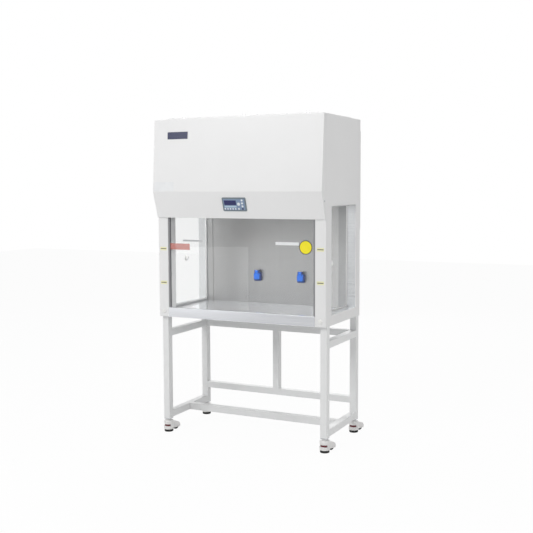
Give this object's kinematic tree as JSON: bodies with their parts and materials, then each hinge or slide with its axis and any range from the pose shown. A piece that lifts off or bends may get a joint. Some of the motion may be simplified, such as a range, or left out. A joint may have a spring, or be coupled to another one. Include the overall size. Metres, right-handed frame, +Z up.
{
  "type": "laminar flow hood",
  "caption": "Vertical laminar flow hood on an open tube stand: glass side windows, sliding glass sash, sloped front cover with control panel, steel work table and levelling casters.",
  "frame": {"origin": "on the floor, under the middle of the cabinet", "axes": "+X to the right seen from the front, +Y to the back, +Z up"},
  "size_m": [1.0624, 0.621, 1.839],
  "materials": {
    "white_enamel": "satin powder coat",
    "stand_enamel": "satin powder coat",
    "stainless": "brushed",
    "zinc": "plain zinc sheet",
    "clear_glass": "polished",
    "gasket": "matte",
    "white_plastic": "smooth",
    "guide_plastic": "matte",
    "panel_face": "matte",
    "screen": "gloss",
    "blue_plastic": "smooth",
    "filter_media": "matte",
    "alloy": "satin",
    "mesh": "matte",
    "steel": "zinc plated",
    "lamp_glass": "frosted",
    "ivory_nylon": "satin",
    "black_nylon": "satin",
    "black_rubber": "matte",
    "red_plastic": "satin",
    "dark_plastic": "matte"
  },
  "bodies": {
    "cabinet": {"back_liner": "stainless", "back_panel": "white_enamel", "base_pan": "zinc", "blower_scroll": "zinc", "column_caps": "white_plastic", "cover_hinges_fixed": "steel", "diffuser_panel": "stainless", "fan_motor": "alloy", "filter_frame": "alloy", "filter_media": "filter_media", "glass_gaskets": "gasket", "glass_plugs": "white_plastic", "intake_frame": "white_enamel", "intake_knobs": "dark_plastic", "intake_mesh": "mesh", "lamp_holders": "white_plastic", "lamp_tubes": "lamp_glass", "plenum_deck": "zinc", "power_inlet": "dark_plastic", "rear_cover": "white_enamel", "sash_guides": "guide_plastic", "side_glass_left": "clear_glass", "side_glass_right": "clear_glass", "side_panel_left": "white_enamel", "side_panel_right": "white_enamel", "socket_bases": "blue_plastic", "stand_cross_members": "stand_enamel", "stand_foot_plates": "steel", "stand_legs": "stand_enamel", "stand_side_rails": "stand_enamel", "top_panel": "white_enamel", "window_frame_left": "stainless", "window_frame_right": "stainless", "worktable": "stainless"},
    "cover": {"front_cover": "white_enamel", "cover_hinges_moving": "steel", "cover_locks": "steel", "control_panel": "white_plastic", "panel_overlay": "panel_face", "panel_screen": "screen"},
    "sash": {"sash_glass": "clear_glass"},
    "fan": {"fan_wheel": "steel"},
    "lid_left": {"socket_lid_left": "blue_plastic"},
    "lid_right": {"socket_lid_right": "blue_plastic"},
    "caster_front_left": {"caster_front_left_shell": "ivory_nylon"},
    "caster_front_left_wheel": {"caster_front_left_wheel": "black_nylon"},
    "caster_front_left_dial": {"caster_front_left_dial": "red_plastic"},
    "caster_front_left_pad": {"caster_front_left_pad": "black_rubber"},
    "caster_front_right": {"caster_front_right_shell": "ivory_nylon"},
    "caster_front_right_wheel": {"caster_front_right_wheel": "black_nylon"},
    "caster_front_right_dial": {"caster_front_right_dial": "red_plastic"},
    "caster_front_right_pad": {"caster_front_right_pad": "black_rubber"},
    "caster_rear_left": {"caster_rear_left_shell": "ivory_nylon"},
    "caster_rear_left_wheel": {"caster_rear_left_wheel": "black_nylon"},
    "caster_rear_left_dial": {"caster_rear_left_dial": "red_plastic"},
    "caster_rear_left_pad": {"caster_rear_left_pad": "black_rubber"},
    "caster_rear_right": {"caster_rear_right_shell": "ivory_nylon"},
    "caster_rear_right_wheel": {"caster_rear_right_wheel": "black_nylon"},
    "caster_rear_right_dial": {"caster_rear_right_dial": "red_plastic"},
    "caster_rear_right_pad": {"caster_rear_right_pad": "black_rubber"}
  },
  "joints": [
    {"name": "cover_hinge", "type": "hinge", "parent": "cabinet", "child": "cover", "pos_m": [0, -0.261, 1.8115], "axis": [-1, 0, 0], "range_deg": [0, 80]},
    {"name": "sash_lift", "type": "slide", "parent": "cabinet", "child": "sash", "axis": [0, 0, 1], "range_m": [0, 0.48]},
    {"name": "fan_spin", "type": "hinge", "parent": "cabinet", "child": "fan", "pos_m": [0, -0.01625, 1.636], "axis": [1, 0, 0], "continuous": true},
    {"name": "lid_left_hinge", "type": "hinge", "parent": "cabinet", "child": "lid_left", "pos_m": [-0.105, 0.173, 0.932], "axis": [-1, 0, 0], "range_deg": [0, 110], "stiffness_Nm_per_rad": 0.05, "springref_deg": -22.92},
    {"name": "lid_right_hinge", "type": "hinge", "parent": "cabinet", "child": "lid_right", "pos_m": [0.18, 0.173, 0.932], "axis": [-1, 0, 0], "range_deg": [0, 110], "stiffness_Nm_per_rad": 0.05, "springref_deg": -22.92},
    {"name": "caster_front_left_swivel", "type": "hinge", "parent": "cabinet", "child": "caster_front_left", "pos_m": [-0.4975, -0.2125, 0.07], "axis": [0, 0, 1], "continuous": true},
    {"name": "caster_front_left_roll", "type": "hinge", "parent": "caster_front_left", "child": "caster_front_left_wheel", "pos_m": [-0.48108, -0.16739, 0.0245], "axis": [-0.9397, 0.342, 0], "continuous": true},
    {"name": "caster_front_left_dial_turn", "type": "hinge", "parent": "caster_front_left", "child": "caster_front_left_dial", "pos_m": [-0.4975, -0.2125, 0.039], "axis": [0, 0, 1], "range_deg": [0, 1440.5]},
    {"name": "caster_front_left_pad_rise", "type": "slide", "parent": "caster_front_left", "child": "caster_front_left_pad", "axis": [0, 0, 1], "range_m": [0, 0.008]},
    {"name": "caster_front_right_swivel", "type": "hinge", "parent": "cabinet", "child": "caster_front_right", "pos_m": [0.4975, -0.2125, 0.07], "axis": [0, 0, 1], "continuous": true},
    {"name": "caster_front_right_roll", "type": "hinge", "parent": "caster_front_right", "child": "caster_front_right_wheel", "pos_m": [0.51392, -0.16739, 0.0245], "axis": [-0.9397, 0.342, 0], "continuous": true},
    {"name": "caster_front_right_dial_turn", "type": "hinge", "parent": "caster_front_right", "child": "caster_front_right_dial", "pos_m": [0.4975, -0.2125, 0.039], "axis": [0, 0, 1], "range_deg": [0, 1440.5]},
    {"name": "caster_front_right_pad_rise", "type": "slide", "parent": "caster_front_right", "child": "caster_front_right_pad", "axis": [0, 0, 1], "range_m": [0, 0.008]},
    {"name": "caster_rear_left_swivel", "type": "hinge", "parent": "cabinet", "child": "caster_rear_left", "pos_m": [-0.4975, 0.234, 0.07], "axis": [0, 0, 1], "continuous": true},
    {"name": "caster_rear_left_roll", "type": "hinge", "parent": "caster_rear_left", "child": "caster_rear_left_wheel", "pos_m": [-0.48108, 0.2791, 0.0245], "axis": [-0.9397, 0.342, 0], "continuous": true},
    {"name": "caster_rear_left_dial_turn", "type": "hinge", "parent": "caster_rear_left", "child": "caster_rear_left_dial", "pos_m": [-0.4975, 0.234, 0.039], "axis": [0, 0, 1], "range_deg": [0, 1440.5]},
    {"name": "caster_rear_left_pad_rise", "type": "slide", "parent": "caster_rear_left", "child": "caster_rear_left_pad", "axis": [0, 0, 1], "range_m": [0, 0.008]},
    {"name": "caster_rear_right_swivel", "type": "hinge", "parent": "cabinet", "child": "caster_rear_right", "pos_m": [0.4975, 0.234, 0.07], "axis": [0, 0, 1], "continuous": true},
    {"name": "caster_rear_right_roll", "type": "hinge", "parent": "caster_rear_right", "child": "caster_rear_right_wheel", "pos_m": [0.51392, 0.2791, 0.0245], "axis": [-0.9397, 0.342, 0], "continuous": true},
    {"name": "caster_rear_right_dial_turn", "type": "hinge", "parent": "caster_rear_right", "child": "caster_rear_right_dial", "pos_m": [0.4975, 0.234, 0.039], "axis": [0, 0, 1], "range_deg": [0, 1440.5]},
    {"name": "caster_rear_right_pad_rise", "type": "slide", "parent": "caster_rear_right", "child": "caster_rear_right_pad", "axis": [0, 0, 1], "range_m": [0, 0.008]}
  ],
  "couplings": [
    {"joint": "caster_front_left_dial_turn", "follows": "caster_front_left_pad_rise", "rad_per_m": 3141.6},
    {"joint": "caster_front_right_dial_turn", "follows": "caster_front_right_pad_rise", "rad_per_m": 3141.6},
    {"joint": "caster_rear_left_dial_turn", "follows": "caster_rear_left_pad_rise", "rad_per_m": 3141.6},
    {"joint": "caster_rear_right_dial_turn", "follows": "caster_rear_right_pad_rise", "rad_per_m": 3141.6}
  ]
}
